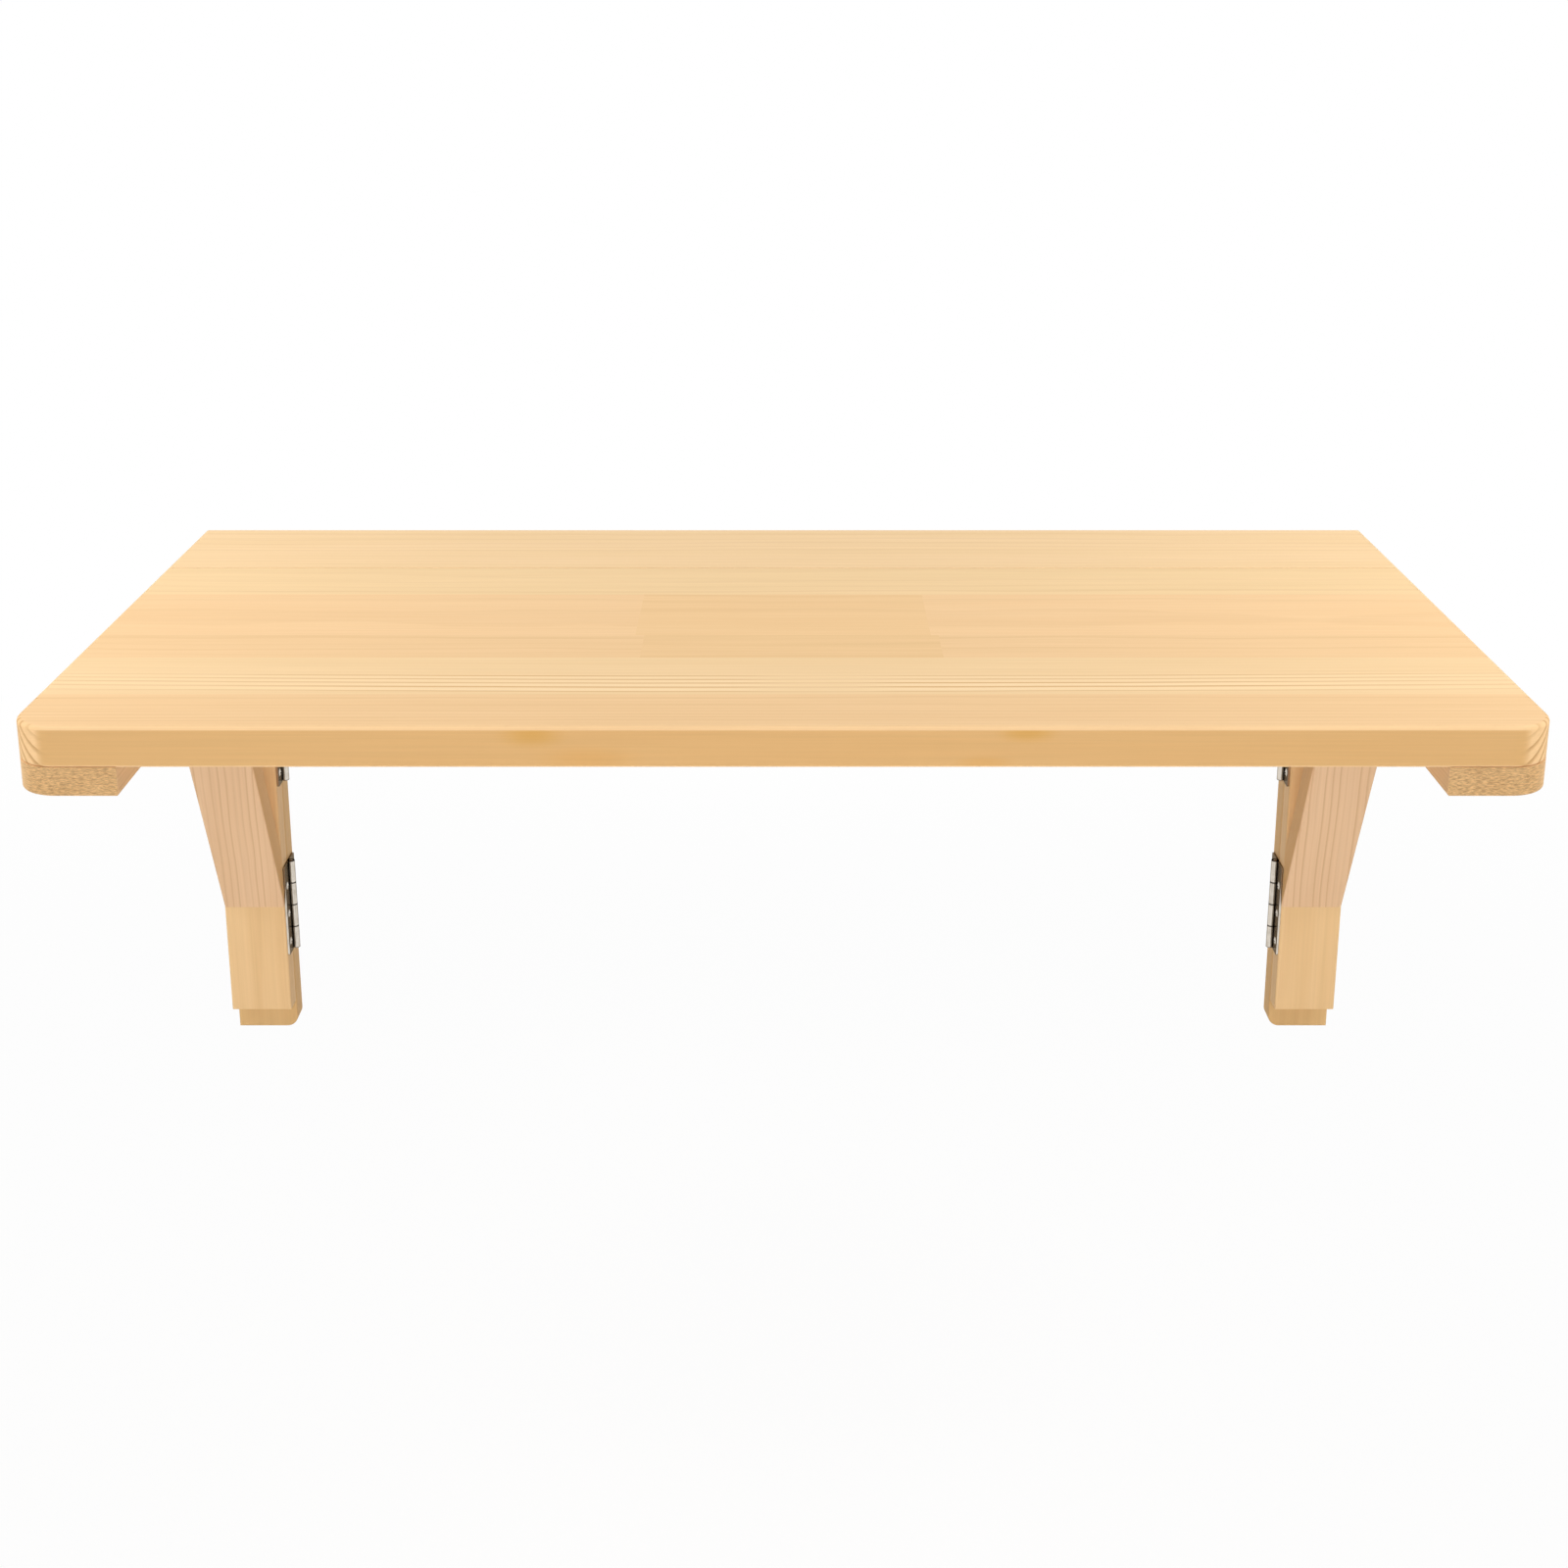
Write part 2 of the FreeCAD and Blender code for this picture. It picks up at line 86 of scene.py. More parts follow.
def vectors(tree, operation, first, second=(0, 0, 0)):
    """Result of one sum on two vectors."""
    made = add(tree, "ShaderNodeVectorMath", {0: first, 1: second}, operation=operation)
    return made.outputs["Value" if operation in ("DOT_PRODUCT", "LENGTH") else "Vector"]


RISING = (0.0, 1.0)
FADING = (1.0, 0.0)


def ramp(tree, value, limits=RISING, results=RISING):
    """Smooth step from one result to the other, as a value passes from one limit to the other."""
    low, high = limits
    start, stop = results
    inputs = {"Value": value, "From Min": low, "From Max": high, "To Min": start, "To Max": stop}
    return add(tree, "ShaderNodeMapRange", inputs, interpolation_type="SMOOTHSTEP").outputs["Result"]


def noise(tree, place, scales, detail=2.0, roughness=0.5, seed=0.0):
    """Noise node with its own scale along each axis, in waves per metre."""
    stretched = vectors(tree, "MULTIPLY", place, scales)
    moved = vectors(tree, "ADD", stretched, (seed, seed, seed))
    inputs = {"Vector": moved, "Scale": 1.0, "Detail": detail, "Roughness": roughness}
    return add(tree, "ShaderNodeTexNoise", inputs)


def mixed(tree, share, first, second, blend="MIX"):
    """Colour between two colours, by a share."""
    made = add(tree, "ShaderNodeMix", {0: share, 6: first, 7: second}, data_type="RGBA", blend_type=blend)
    return made.outputs[2]


def finish_named(name):
    """New material, with its node tree and shader."""
    material = bpy.data.materials.new(name)
    material.use_nodes = True
    return material, material.node_tree, material.node_tree.nodes["Principled BSDF"]


NOISE_MIDDLE = 0.5
RING_DRIFT = dict(scales=(2.6, 9, 9), detail=3.0, roughness=0.55)
ACROSS_GRAIN = (0, 1, 1)


def ring_radius(tree, local, along, wander, bow, seed):
    """Distance from the heart of the trunk, with rings that wander and sag a little along it."""
    drift = noise(tree, local, seed=seed, **RING_DRIFT).outputs["Color"]
    drift = vectors(tree, "SUBTRACT", drift, (NOISE_MIDDLE, NOISE_MIDDLE, NOISE_MIDDLE))
    bent = vectors(tree, "ADD", local, vectors(tree, "MULTIPLY", drift, (0, 2 * wander, 2 * wander)))
    if bow:
        sag = maths(tree, "MULTIPLY", maths(tree, "MULTIPLY", along, along), bow)
        bent = vectors(tree, "SUBTRACT", bent, add(tree, "ShaderNodeCombineXYZ", {"Y": sag}).outputs[0])
    return vectors(tree, "LENGTH", vectors(tree, "MULTIPLY", bent, ACROSS_GRAIN))


LATE_WOOD_FULL = 0.9
YEAR_END = dict(limits=(0.95, 1.0), results=FADING)


def late_years(tree, age, onset, seed):
    """Late wood, from its onset to the end of each year, and a chance value for each year."""
    season = maths(tree, "FRACT", age)
    year = maths(tree, "ADD", maths(tree, "FLOOR", age), seed)
    chance = add(tree, "ShaderNodeTexWhiteNoise", {"W": year}, noise_dimensions="1D").outputs["Value"]
    growing = ramp(tree, season, (onset, LATE_WOOD_FULL))
    return maths(tree, "MULTIPLY", growing, ramp(tree, season, **YEAR_END)), chance


BOLD_EDGE_SHARE = 0.25
FAINT_SPOT = dict(limits=(0.012, 0.06), results=(0.4, 1.0))
FAINT_ENDS = dict(limits=(0.2, 0.44), results=(1.0, 0.45))
FAINT_CLOUDS = dict(limits=(0.3, 0.6), results=(0.6, 1.0))


def bold_years(tree, radius, ring, along, cloud, bold):
    """Where some years of a board are bold. They fade at one place along it and towards its ends."""
    edge = BOLD_EDGE_SHARE * ring
    strong = maths(tree, "MULTIPLY", ramp(tree, radius, (bold["inner"], bold["inner"] + edge)),
                   ramp(tree, radius, (bold["outer"] - edge, bold["outer"]), FADING))
    away = maths(tree, "ABSOLUTE", maths(tree, "SUBTRACT", along, bold["faint_at"]))
    strong = maths(tree, "MULTIPLY", strong, ramp(tree, away, **FAINT_SPOT))
    strong = maths(tree, "MULTIPLY", strong, ramp(tree, away, **FAINT_ENDS))
    return maths(tree, "MULTIPLY", strong, ramp(tree, cloud, **FAINT_CLOUDS))


END_WAVES = dict(scales=(0, 260, 260))
END_WAVE_HEIGHT = 0.0014
END_FLECKS = dict(scales=(20, 280, 1900), detail=3.0, roughness=0.65)
FLECK_LIMITS = (0.4, 0.6)


def end_grain(tree, local, end, seed):
    """Tint of wood that is cut across: wavy flecks, darker than the rest."""
    wavy = noise(tree, local, seed=seed, **END_WAVES).outputs["Color"]
    wavy = vectors(tree, "ADD", local, vectors(tree, "MULTIPLY", wavy, (0, 0, END_WAVE_HEIGHT)))
    fleck = noise(tree, wavy, seed=seed, **END_FLECKS).outputs["Fac"]
    light = shade(*end["tint"])
    dark = tuple(end["dark"] * part for part in light[:3]) + (1,)
    return mixed(tree, ramp(tree, fleck, FLECK_LIMITS), dark, light)


STAIN_RIM = dict(limits=(0.1, 1.2), results=FADING)


def soaked_share(tree, where, cloud, stain):
    """Where a stain has soaked in, with an uneven rim."""
    offset = vectors(tree, "SUBTRACT", where, (stain["x"], 0, stain["z"]))
    offset = vectors(tree, "MULTIPLY", offset, (1 / stain["half_length"], 0, 1 / stain["half_height"]))
    uneven = maths(tree, "SUBTRACT", cloud, NOISE_MIDDLE)
    return ramp(tree, maths(tree, "ADD", vectors(tree, "LENGTH", offset), uneven), **STAIN_RIM)


QUARTER_TURN = math.radians(90)
GRAIN_ALONG_X = (0, 0, 0)
GRAIN_ALONG_Y = (0, 0, -QUARTER_TURN)
GRAIN_ALONG_Z = (0, QUARTER_TURN, 0)
PLAIN_END = dict(tint=(236, 227, 214), dark=0.82, lines=1.0, turn=(0.35, 0.9))
PALE_YEAR_SHARE = 0.3
CLOUDS = dict(scales=(3, 60, 60), detail=3.0, roughness=0.6)
CLOUD_LIMITS = (0.3, 0.7)
FIBRES = dict(scales=(9, 800, 800), detail=3.0, roughness=0.6)
FIBRE_GREYS = dict(limits=(0.25, 0.75), results=(0.95, 1.0))
FIBRE_ROUGHNESS = dict(limits=(0.2, 0.8), results=(0.64, 0.54))
FIBRE_RELIEF = 0.6
LINE_RELIEF = 0.1
RELIEF_STRENGTH = 0.2
RELIEF_DEPTH = 0.0003
PINE_GLOSS = 0.12
INLAY_ASIDE = 0.017
# Faces that face one way get fewer lines and a tint that is partly a golden tone, partly painted shade.
SHADED_FACE_TURN = (0.92, 0.999)
SHADED_FACE_LINES = (1.0, 0.12)


def pine(name, tones, late, pith, ring, turn=GRAIN_ALONG_X, lines=0.4, onset=0.5, wander=0.006, bow=0.0,
         seed=0.0, bold=None, inlay=None, toned_shaded_faces=None, stains=(), end=PLAIN_END):
    """Pine in two tones of early wood and one of late wood, with the grain along X once it is turned.

    The pith is a point on the heart of the trunk, and a ring is one year's growth, both in metres. Lines
    is how dark the late wood is, and onset is when in the year it starts. Wander and bow are how far the
    rings stray and sag. Only some boards have bold years or a board let in. On some, the faces that face
    one way have fewer lines and a darker, more golden tint: partly the board's tone, partly painted shade.
    """
    material, tree, shader = finish_named(name)
    spot = add(tree, "ShaderNodeTexCoord", {})
    where = spot.outputs["Object"]
    normal = spot.outputs["Normal"]
    along = add(tree, "ShaderNodeSeparateXYZ", {0: where}).outputs["X"]
    local = vectors(tree, "SUBTRACT", where, pith)
    local = add(tree, "ShaderNodeMapping", {"Vector": local, "Rotation": turn}).outputs[0]
    facing = add(tree, "ShaderNodeMapping", {"Vector": normal, "Rotation": turn}).outputs[0]
    facing_end = add(tree, "ShaderNodeSeparateXYZ", {0: facing}).outputs["X"]
    across = ramp(tree, maths(tree, "ABSOLUTE", facing_end), end["turn"])
    if inlay:
        let_in = maths(tree, "SUBTRACT", maths(tree, "GREATER_THAN", along, inlay["start"]),
                       maths(tree, "GREATER_THAN", along, inlay["stop"]))
        aside = maths(tree, "MULTIPLY", let_in, INLAY_ASIDE)
        aside = add(tree, "ShaderNodeCombineXYZ", {"Y": aside, "Z": aside}).outputs[0]
        local = vectors(tree, "ADD", local, aside)

    # how much late wood shows, year by year
    radius = ring_radius(tree, local, along, wander, bow, seed)
    late_wood, chance = late_years(tree, maths(tree, "DIVIDE", radius, ring), onset, seed)
    strength = ramp(tree, chance, results=(PALE_YEAR_SHARE * lines, lines))
    share = maths(tree, "MULTIPLY", late_wood, strength)
    share = maths(tree, "MULTIPLY", share, ramp(tree, across, results=(1.0, end["lines"])))

    # early wood in two tones, then the lines, a board let in, and the fibres
    cloud = noise(tree, local, seed=seed, **CLOUDS).outputs["Fac"]
    fibre = noise(tree, local, seed=seed, **FIBRES).outputs["Fac"]
    colour = mixed(tree, ramp(tree, cloud, CLOUD_LIMITS), shade(*tones[0]), shade(*tones[1]))
    if bold:
        strong = bold_years(tree, radius, ring, along, cloud, bold)
        colour = mixed(tree, strong, colour, shade(*bold["tint"]))
        share = maths(tree, "MAXIMUM", share, maths(tree, "MULTIPLY", strong, late_wood))
    if toned_shaded_faces:
        plain = vectors(tree, "DOT_PRODUCT", normal, toned_shaded_faces["facing"])
        plain = ramp(tree, maths(tree, "ABSOLUTE", plain), SHADED_FACE_TURN)
        share = maths(tree, "MULTIPLY", share, ramp(tree, plain, results=SHADED_FACE_LINES))
    colour = mixed(tree, share, colour, shade(*late))
    if inlay:
        colour = mixed(tree, let_in, colour, shade(*inlay["tint"]), "MULTIPLY")
    grey = ramp(tree, fibre, **FIBRE_GREYS)
    grey = add(tree, "ShaderNodeCombineColor", {0: grey, 1: grey, 2: grey}).outputs[0]
    colour = mixed(tree, 1.0, colour, grey, "MULTIPLY")

    # end grain, and the faces with a golden tint and painted shade, with their stains
    colour = mixed(tree, across, colour, end_grain(tree, local, end, seed), "MULTIPLY")
    if toned_shaded_faces:
        # faces that face one way: a more golden tone and painted shade
        colour = mixed(tree, plain, colour, shade(*toned_shaded_faces["tint"]), "MULTIPLY")
    for stain in stains:
        soaked = maths(tree, "MULTIPLY", plain, soaked_share(tree, where, cloud, stain))
        colour = mixed(tree, soaked, colour, shade(*stain["tint"]), "MULTIPLY")

    relief = maths(tree, "ADD", maths(tree, "MULTIPLY", fibre, FIBRE_RELIEF),
                   maths(tree, "MULTIPLY", share, LINE_RELIEF))
    bump = {"Height": relief, "Strength": RELIEF_STRENGTH, "Distance": RELIEF_DEPTH}
    tree.links.new(colour, shader.inputs["Base Color"])
    tree.links.new(add(tree, "ShaderNodeBump", bump).outputs["Normal"], shader.inputs["Normal"])
    tree.links.new(ramp(tree, fibre, **FIBRE_ROUGHNESS), shader.inputs["Roughness"])
    shader.inputs["Specular IOR Level"].default_value = PINE_GLOSS
    return material


def paint(node, material):
    """Give a node of the frame its finish."""
    nodes[node].data.materials.clear()
    nodes[node].data.materials.append(material)


BAR_TONES = ((233, 196, 146), (227, 189, 138))
BAR_LATE = (206, 160, 110)
paint("wall_cleat", pine("cleat_pine", BAR_TONES, BAR_LATE, pith=(0, 0.05, -0.06), ring=0.0052, seed=3.1))

# Wall posts: two upright pine bars screwed to the wall, with a round lower corner towards the middle.
# They are planed on all sides, and the grain runs up the bar.
SIDES = {"left": -1, "right": 1}
POST_TONES = ((222, 183, 128), (215, 175, 120))
for side, sign in SIDES.items():
    post_pine = pine(f"wall_post_pine_{side}", POST_TONES, BAR_LATE, pith=(sign * 0.36, 0.07, 0),
                     ring=0.006, turn=GRAIN_ALONG_Z, lines=0.25, seed=5.7 * sign)
    paint(f"wall_post_{side}", post_pine)

# Dowels: short beech pins glued into the top of each wall post, which locate the battens of the strip.
# Beech is pinker than pine, with hardly any lines.
BEECH_TONES = ((214, 176, 138), (206, 166, 126))
BEECH_LATE = (186, 140, 100)
for side, sign in SIDES.items():
    beech = pine(f"dowel_beech_{side}", BEECH_TONES, BEECH_LATE, pith=(sign * 0.4, 0.06, 0), ring=0.002,
                 turn=GRAIN_ALONG_Z, lines=0.2)
    paint(f"post_dowels_{side}", beech)

# Short battens: pine bars under the ends of the strip, on top of the wall posts, grain towards the room.
# They are screwed up into the strip.
for side, sign in SIDES.items():
    batten_pine = pine(f"strip_batten_pine_{side}", BAR_TONES, BAR_LATE, pith=(sign * 0.41, 0, -0.05),
                       ring=0.0048, turn=GRAIN_ALONG_Y, seed=1.9 * sign)
    paint(f"strip_batten_{side}", batten_pine)

# Wall strip: the fixed back part of the table top, one pine board that stays on the wall. Its front edge
# is eased where the leaf meets it.
STRIP_TONES = ((252, 217, 169), (249, 214, 164))
TOP_LATE = (222, 178, 124)
strip_pine = pine("strip_pine", STRIP_TONES, TOP_LATE, pith=(0, 0.03, -0.07), ring=0.0055, lines=0.25,
                  seed=2.3)
paint("wall_strip", strip_pine)

# Screws of the strip: steel, turned with a flat countersunk head, a cross recess pressed into it and a
# rolled thread. They go up through the short battens and the cleat, in the holes of the frame's plain
# screws.
WELD = 1e-7


def longest_axis(span):
    """Number of the axis along which a box is longest."""
    return max(range(3), key=lambda number: span[number])


def screw_places(node):
    """For each screw in a node of the frame: the middle of its head's top, its heading and its length."""
    work = bmesh.new()
    work.from_mesh(nodes[node].data)
    bmesh.ops.remove_doubles(work, verts=work.verts, dist=WELD)
    places = []
    for start in work.verts:
        if start.tag:
            continue
        start.tag = True
        island = [start]
        for vert in island:
            for edge in vert.link_edges:
                other = edge.other_vert(vert)
                if not other.tag:
                    other.tag = True
                    island.append(other)
        low = Vector([min(vert.co[axis] for vert in island) for axis in range(3)])
        high = Vector([max(vert.co[axis] for vert in island) for axis in range(3)])
        middle = (low + high) / 2
        span = high - low
        axis = longest_axis(span)
        heading = Vector([1 if number == axis else 0 for number in range(3)])
        sideways = Vector((1, 1, 1)) - heading
        rim = max(island, key=lambda vert: ((vert.co - middle) * sideways).length)
        if rim.co[axis] > middle[axis]:
            heading = -heading
        places.append((middle - heading * span[axis] / 2, heading, span[axis]))
    work.free()
    return places


CROWN_TILT = 0.3


def crown_faces(work, crown):
    """Faces on the top of a screw's head."""
    facing_up = [face for face in work.faces if face.normal.z > CROWN_TILT]
    return [face for face in facing_up if face.calc_center_median().z > -crown - WELD]


SCREW_STEPS = 24
THREAD_STEPS = 12
CROWN_SHARES = (0, 0.25, 0.5, 0.75, 1)
CORE_SHARE = 0.72
PLAIN_SHARE = 0.18
TIP_SHARE = 1.6
SLOT_WIDTH_SHARE = 0.17
SLOT_REACH_SHARE = 0.58
SLOT_TAPER_SHARES = (0.75, 0.75, 1)
SLOT_DEPTH_SHARE = 0.35


def screw_shape(head_radius, head_sink, crown, radius, length, pitch):
    """One screw that points down, with the top of its head at the origin."""
    core = CORE_SHARE * radius
    plain = crown + head_sink + PLAIN_SHARE * length
    tip = TIP_SHARE * radius
    work = bmesh.new()
    outline = [(share * head_radius, -crown * share ** 2) for share in CROWN_SHARES]
    outline += [(radius, -crown - head_sink), (radius, -plain), (core, -plain - pitch / 2)]
    outline += [(core, tip - length), (0, -length)]
    corners = [work.verts.new((reach, 0, z)) for reach, z in outline]
    edges = [work.edges.new(pair) for pair in zip(corners, corners[1:])]
    bmesh.ops.spin(work, geom=corners + edges, cent=(0, 0, 0), axis=(0, 0, 1), angle=2 * math.pi,
                   steps=SCREW_STEPS, use_merge=True)
    bmesh.ops.remove_doubles(work, verts=work.verts, dist=WELD)
    bmesh.ops.recalc_face_normals(work, faces=work.faces)

    # cross recess, cut into the crown and pressed in
    slot_width = SLOT_WIDTH_SHARE * head_radius
    slot_reach = SLOT_REACH_SHARE * head_radius
    slot_depth = SLOT_DEPTH_SHARE * (head_sink + crown)
    for normal in (Vector((1, 0, 0)), Vector((0, 1, 0))):
        for offset in (-slot_reach, -slot_width, slot_width, slot_reach):
            faces = crown_faces(work, crown)
            edges = list(dict.fromkeys(edge for face in faces for edge in face.edges))
            corners = list(dict.fromkeys(vert for face in faces for vert in face.verts))
            bmesh.ops.bisect_plane(work, geom=faces + edges + corners, plane_co=normal * offset,
                                   plane_no=normal)
    cross = []
    for face in crown_faces(work, crown):
        middle = face.calc_center_median()
        near, far = sorted((abs(middle.x), abs(middle.y)))
        if near < slot_width and far < slot_reach:
            cross.append(face)
    pressed = bmesh.ops.extrude_face_region(work, geom=cross)["geom"]
    bmesh.ops.delete(work, geom=cross, context="FACES")
    pressed = [item for item in pressed if isinstance(item, bmesh.types.BMVert)]
    bmesh.ops.scale(work, vec=SLOT_TAPER_SHARES, verts=pressed)
    bmesh.ops.translate(work, vec=(0, 0, -slot_depth), verts=pressed)

    # thread, a ridge wound down the core
    turns = max(1, int((length - tip - plain) / pitch))
    section = ((core, 0), (radius, 0.5), (core, 1))
    ridge = [work.verts.new((reach, 0, -plain - drop * pitch)) for reach, drop in section]
    edges = [work.edges.new(pair) for pair in zip(ridge, ridge[1:])]
    bmesh.ops.spin(work, geom=ridge + edges, cent=(0, 0, 0), axis=(0, 0, 1), angle=2 * math.pi * turns,
                   dvec=(0, 0, -pitch / THREAD_STEPS), steps=turns * THREAD_STEPS)
    shape = bpy.data.meshes.new("screw_shape")
    work.to_mesh(shape)
    work.free()
    return shape


# Colour of painted shade: in seams, in the screws' cross recesses and between a hinge's knuckles.
PAINTED_SHADE = (48, 37, 28)
GLANCING_TINT = (110, 98, 86)
BRUSHED_ALONG_X = dict(scales=(90, 2600, 2600), roughness=0.6)
BRUSHED_ALONG_Z = dict(scales=(2600, 2600, 90), roughness=0.6)
BRUSHED_STRENGTH = 0.06
BRUSHED_DEPTH = 0.0001
DULL_PATCHES = dict(scales=(120, 120, 120), detail=3.0)
WORN_LIMITS = (0.38, 0.66)
ROUGH_LIMITS = (0.3, 0.7)
ROUGHER = 0.1
SEAM_REACH = 0.004
SEAM_SAMPLES = 6
PAINTED_SEAM_SHADE = dict(limits=(0.3, 0.9), results=FADING)


def plated(name, bright, worn, rough, brushed=BRUSHED_ALONG_Z):
    """Plated metal: slight dulling, fine brushed lines, and painted shade where surfaces meet."""
    material, tree, shader = finish_named(name)
    where = add(tree, "ShaderNodeTexCoord", {}).outputs["Object"]
    dull = noise(tree, where, **DULL_PATCHES).outputs["Fac"]
    scratch = noise(tree, where, **brushed).outputs["Fac"]
    seam = add(tree, "ShaderNodeAmbientOcclusion", {"Distance": SEAM_REACH}, samples=SEAM_SAMPLES)
    wear = maths(tree, "ADD", maths(tree, "MULTIPLY", dull, 0.5), maths(tree, "MULTIPLY", scratch, 0.5))
    colour = mixed(tree, ramp(tree, wear, WORN_LIMITS), shade(*bright), shade(*worn))
    # painted shade, darker where other surfaces come near
    colour = mixed(tree, ramp(tree, seam.outputs["AO"], **PAINTED_SEAM_SHADE), colour, shade(*PAINTED_SHADE))
    bump = {"Height": scratch, "Strength": BRUSHED_STRENGTH, "Distance": BRUSHED_DEPTH}
    tree.links.new(colour, shader.inputs["Base Color"])
    tree.links.new(ramp(tree, wear, ROUGH_LIMITS, (rough, rough + ROUGHER)), shader.inputs["Roughness"])
    tree.links.new(add(tree, "ShaderNodeBump", bump).outputs["Normal"], shader.inputs["Normal"])
    shader.inputs["Metallic"].default_value = 1.0
    shader.inputs["Specular Tint"].default_value = shade(*GLANCING_TINT)
    return material


BRIGHT_NICKEL = (222, 213, 200)
SCREW_PLATING = plated("screw_plating", BRIGHT_NICKEL, worn=(200, 190, 176), rough=0.16)
SHARP_TURN = math.radians(35)


def fit_screws(node, body, head_radius, head_sink, crown, radius, pitch):
    """Turned screws in place of a node's plain ones, in the same holes."""
    work = bmesh.new()
    for top, heading, length in screw_places(node):
        shape = screw_shape(head_radius, head_sink, crown, radius, length, pitch)
        turn = Vector((0, 0, -1)).rotation_difference(heading).to_matrix().to_4x4()
        shape.transform(Matrix.Translation(top) @ turn)
        work.from_mesh(shape)
        bpy.data.meshes.remove(shape)
    mesh = bpy.data.meshes.new(f"{node}_turned")
    work.to_mesh(mesh)
    work.free()
    mesh.shade_smooth()
    mesh.set_sharp_from_angle(angle=SHARP_TURN)
    mesh.materials.append(SCREW_PLATING)
    piece = bpy.data.objects.new(f"{node}_turned", mesh)
    bpy.context.scene.collection.objects.link(piece)
    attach(piece, body)
    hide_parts(node)


WOOD_SCREW = dict(head_radius=0.004, head_sink=0.0024, crown=0.0, radius=0.002, pitch=0.0018)
fit_screws("strip_batten_screws", "wall_frame", **WOOD_SCREW)
fit_screws("cleat_screws", "wall_frame", **WOOD_SCREW)

# Leaf: five pine staves glued edge to edge. Each is from another board, so tone and rings change at each
# glue line. Two have a darker board let in at the middle, one has straight dark lines near its front, and
# the front stave's front and back edges have fewer lines and a golden tint that is partly painted shade,
# with soft stains.
INLAY_TINT = (252, 251, 246)
STAIN_TINT = (249, 241, 207)
FAINT_STAIN_TINT = (254, 248, 234)
FRONT_STAINS = (
    dict(x=-0.145, z=0.050, half_length=0.021, half_height=0.008, tint=STAIN_TINT),
    dict(x=-0.114, z=0.035, half_length=0.032, half_height=0.009, tint=FAINT_STAIN_TINT),
    dict(x=0.141, z=0.051, half_length=0.018, half_height=0.006, tint=STAIN_TINT),
    dict(x=0.116, z=0.033, half_length=0.018, half_height=0.005, tint=FAINT_STAIN_TINT),
)
STAVES = (
    dict(tones=((250, 216, 166), (247, 213, 162)), late=TOP_LATE, pith=(0, -0.10, -0.05), ring=0.006,
         lines=0.22, seed=4.4),
    dict(tones=((250, 211, 161), (248, 208, 157)), late=TOP_LATE, pith=(0, -0.232, -0.06), ring=0.0065,
         lines=0.2, seed=7.3, inlay=dict(start=-0.097, stop=0.097, tint=INLAY_TINT)),
    dict(tones=((247, 208, 158), (244, 205, 154)), late=TOP_LATE, pith=(0, -0.25, -0.03), ring=0.005,
         lines=0.25, seed=9.8, inlay=dict(start=-0.091, stop=0.102, tint=INLAY_TINT)),
    dict(tones=((248, 214, 165), (246, 211, 161)), late=TOP_LATE, pith=(0, -0.4186, 0.005), ring=0.005,
         lines=0.1, wander=0.0015, bow=0.025, seed=1.2,
         bold=dict(inner=0.0585, outer=0.081, faint_at=0.0225, tint=(254, 222, 175))),
    dict(tones=((245, 206, 156), (243, 203, 152)), late=(192, 142, 88), pith=(0, -0.354, -0.011),
         ring=0.004, lines=0.14, wander=0.003, seed=6.6, stains=FRONT_STAINS,
         # front and back edges: a golden tone, and painted shade that darkens them
         toned_shaded_faces=dict(facing=(0, 1, 0), tint=(231, 220, 197)),
         end=dict(tint=(255, 254, 250), dark=0.97, lines=6.0, turn=(0.03, 0.25))),
)
for number, look in enumerate(STAVES, start=1):
    paint(f"leaf_stave_{number}", pine(f"leaf_stave_{number}_pine", **look))

# Leaf battens: pine bars screwed up into the leaf across its ends, grain towards the room, so that their
# front ends show speckled end grain. They keep the leaf flat and rest on the brackets' arms.
BATTEN_TONES = ((238, 198, 147), (231, 190, 139))
BATTEN_END = dict(PLAIN_END, tint=(251, 245, 234), dark=0.62)
for side, sign in SIDES.items():
    batten_pine = pine(f"leaf_batten_pine_{side}", BATTEN_TONES, BAR_LATE, pith=(sign * 0.42, 0, -0.05),
                       ring=0.0024, turn=GRAIN_ALONG_Y, seed=8.1 * sign, end=BATTEN_END)
    paint(f"leaf_batten_{side}", batten_pine)
fit_screws("leaf_batten_screws", "leaf", **WOOD_SCREW)

# Leaf hinges: three butt hinges under the joint, of nickel-plated sheet steel, each plate rolled into two
# knuckles round a steel pin and held by three raised screws. Painted shade darkens the gaps between
# the knuckles.
KNUCKLES = 4
BARREL_REACH = 0.0034
JOINT_SHADE_WIDTH = 0.0011


def knuckle_joints(tree, pin):
    """1 at the joints between a hinge's knuckles, fading to 0 a little way along the barrel."""
    low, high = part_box(pin)
    axis = longest_axis(high - low)
    pitch = (high - low)[axis] / KNUCKLES
    where = add(tree, "ShaderNodeTexCoord", {}).outputs["Object"]
    offset = vectors(tree, "SUBTRACT", where, (low + high) / 2)
    place = maths(tree, "DIVIDE", add(tree, "ShaderNodeSeparateXYZ", {0: offset}).outputs[axis], pitch)
    from_joint = maths(tree, "ABSOLUTE", maths(tree, "SUBTRACT", place, maths(tree, "ROUND", place)))
    sideways = [0 if number == axis else 1 for number in range(3)]
    reach = vectors(tree, "LENGTH", vectors(tree, "MULTIPLY", offset, sideways))
    on_barrel = maths(tree, "LESS_THAN", reach, BARREL_REACH)
    return maths(tree, "MULTIPLY", on_barrel, ramp(tree, from_joint, (0, JOINT_SHADE_WIDTH / pitch), FADING))


